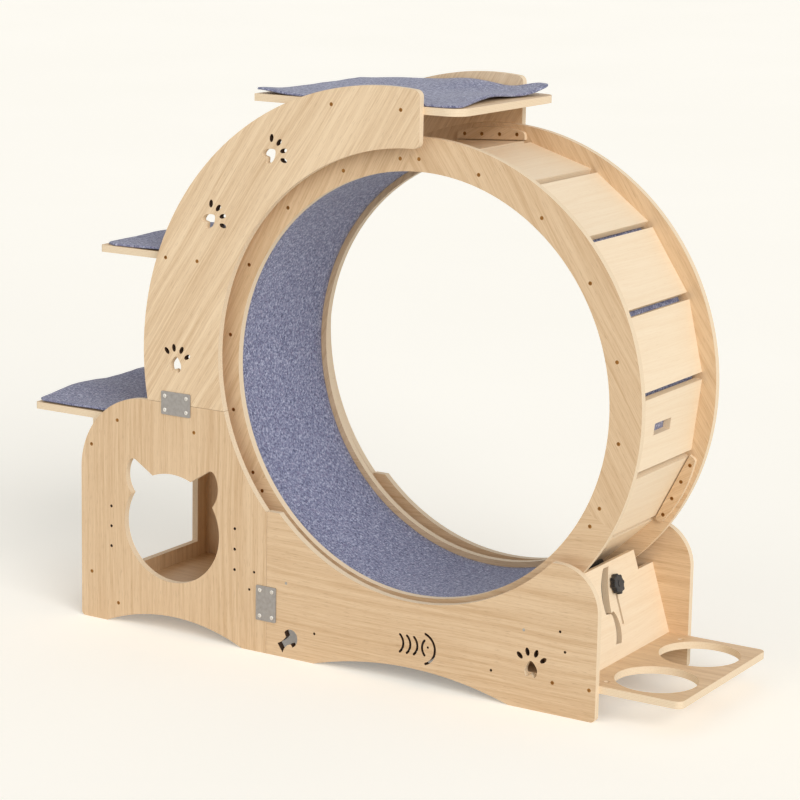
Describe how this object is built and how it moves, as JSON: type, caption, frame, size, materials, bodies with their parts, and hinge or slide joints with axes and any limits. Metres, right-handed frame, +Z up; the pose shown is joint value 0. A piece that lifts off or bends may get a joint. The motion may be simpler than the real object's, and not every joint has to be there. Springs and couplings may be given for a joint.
{
  "type": "cat exercise wheel",
  "caption": "Plywood running wheel for cats, lined with felt, on rollers between flat sides that carry a cat house, felt-topped steps, a sliding wheel lock and a bowl board.",
  "frame": {"origin": "on the floor, under the middle of the overall box", "axes": "+X towards the bowl board end, +Y from the front side to the rear side along the wheel axis, +Z up"},
  "size_m": [1.568, 0.4336, 1.2008],
  "materials": {
    "panel_wood": "light oak veneer on plywood, satin",
    "ring_wood": "light oak veneer on plywood, satin",
    "slat_wood": "pale plywood, satin",
    "board_wood": "light plywood, satin",
    "lock_wood": "pale plywood, satin",
    "step_felt": "heathered grey-blue felt",
    "liner_felt": "heathered grey-blue felt",
    "plate_metal": "satin grey sheet metal",
    "bright_screw": "bright zinc",
    "brass_screw": "yellow zinc, dull",
    "dark_screw": "dark",
    "roller_rubber": "black, matt",
    "tab_steel": "black, satin",
    "steel_bolt": "zinc plated",
    "spacer_plastic": "black, matt",
    "knob_plastic": "black, satin"
  },
  "bodies": {
    "stand": {"bowl_board": "board_wood", "brace_screws": "dark_screw", "front_arc_panel": "panel_wood", "front_base_panel": "panel_wood", "front_house_panel": "panel_wood", "house_end_board": "board_wood", "house_floor": "board_wood", "house_slope_board": "board_wood", "joining_plates": "plate_metal", "left_cross_rail": "board_wood", "lock_board": "lock_wood", "lower_step": "board_wood", "lower_step_felt": "step_felt", "middle_step": "board_wood", "middle_step_felt": "step_felt", "panel_screws": "brass_screw", "plate_screws": "bright_screw", "rear_arc_panel": "panel_wood", "rear_base_panel": "panel_wood", "rear_house_panel": "panel_wood", "roller_axles": "steel_bolt", "roller_spacers": "spacer_plastic", "top_platform": "board_wood", "top_platform_felt": "step_felt"},
    "wheel": {"felt_liner": "liner_felt", "front_ring_1": "ring_wood", "front_ring_2": "ring_wood", "front_ring_3": "ring_wood", "rear_ring_1": "ring_wood", "rear_ring_2": "ring_wood", "rear_ring_3": "ring_wood", "ring_screws": "brass_screw", "ring_splices": "ring_wood", "slat_01": "slat_wood", "slat_02": "slat_wood", "slat_03": "slat_wood", "slat_04": "slat_wood", "slat_05": "slat_wood", "slat_06": "slat_wood", "slat_07": "slat_wood", "slat_08": "slat_wood", "slat_09": "slat_wood", "slat_10": "slat_wood", "slat_11": "slat_wood", "slat_12": "slat_wood", "slat_13": "slat_wood", "slat_14": "slat_wood", "slat_15": "slat_wood", "slat_16": "slat_wood", "slat_17": "slat_wood", "slat_18": "slat_wood", "splice_screws": "brass_screw"},
    "front_left_roller": {"front_left_roller": "roller_rubber"},
    "front_right_roller": {"front_right_roller": "roller_rubber"},
    "rear_left_roller": {"rear_left_roller": "roller_rubber"},
    "rear_right_roller": {"rear_right_roller": "roller_rubber"},
    "lock_slider": {"lock_tab": "tab_steel", "lock_washer": "spacer_plastic", "lock_bolt": "steel_bolt"},
    "knob": {"lock_knob": "knob_plastic"}
  },
  "joints": [
    {"name": "wheel_spin", "type": "hinge", "parent": "stand", "child": "wheel", "pos_m": [0.168, 0, 0.602], "axis": [0, 1, 0], "continuous": true},
    {"name": "front_left_roller_spin", "type": "hinge", "parent": "stand", "child": "front_left_roller", "pos_m": [-0.11215, -0.1655, 0.15953], "axis": [0, 1, 0], "continuous": true},
    {"name": "front_right_roller_spin", "type": "hinge", "parent": "stand", "child": "front_right_roller", "pos_m": [0.44815, -0.1655, 0.15953], "axis": [0, 1, 0], "continuous": true},
    {"name": "rear_left_roller_spin", "type": "hinge", "parent": "stand", "child": "rear_left_roller", "pos_m": [-0.11215, 0.1655, 0.15953], "axis": [0, 1, 0], "continuous": true},
    {"name": "rear_right_roller_spin", "type": "hinge", "parent": "stand", "child": "rear_right_roller", "pos_m": [0.44815, 0.1655, 0.15953], "axis": [0, 1, 0], "continuous": true},
    {"name": "lock_slide", "type": "slide", "parent": "stand", "child": "lock_slider", "axis": [-0.2919, 0, 0.9565], "range_m": [-0.079, 0.017]},
    {"name": "knob_turn", "type": "hinge", "parent": "lock_slider", "child": "knob", "pos_m": [0.51725, 0.021, 0.20636], "axis": [0.9565, 0, 0.2919], "range_deg": [0, 360]}
  ],
  "couplings": [
    {"joint": "front_left_roller_spin", "follows": "wheel_spin", "ratio": -21.1},
    {"joint": "front_right_roller_spin", "follows": "wheel_spin", "ratio": -21.1},
    {"joint": "rear_left_roller_spin", "follows": "wheel_spin", "ratio": -21.1},
    {"joint": "rear_right_roller_spin", "follows": "wheel_spin", "ratio": -21.1}
  ]
}
